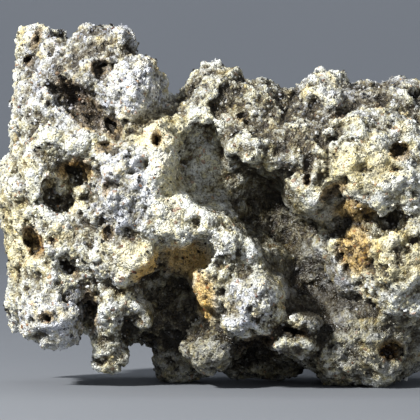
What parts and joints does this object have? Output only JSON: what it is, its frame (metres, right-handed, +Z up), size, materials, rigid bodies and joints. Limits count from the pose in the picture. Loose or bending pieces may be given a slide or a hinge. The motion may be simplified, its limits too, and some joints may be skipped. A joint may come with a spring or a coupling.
{
  "type": "fulgurite",
  "caption": "Knobbly hollowed lump of lightning-fused sand with deep round hollows, a ridge and a tower at one end.",
  "frame": {"origin": "middle of the bounding box in plan, on the plane that its ground feet stand on", "axes": "+X along the long side away from the tower, -Y out of the face with the large hollows, +Z up"},
  "size_m": [0.0496, 0.0274, 0.0366],
  "materials": {
    "fused_sand": "rough crust of fused sand grains, speckled white, grey and cream"
  },
  "bodies": {
    "root": {"fulgurite": "fused_sand"}
  },
  "joints": []
}
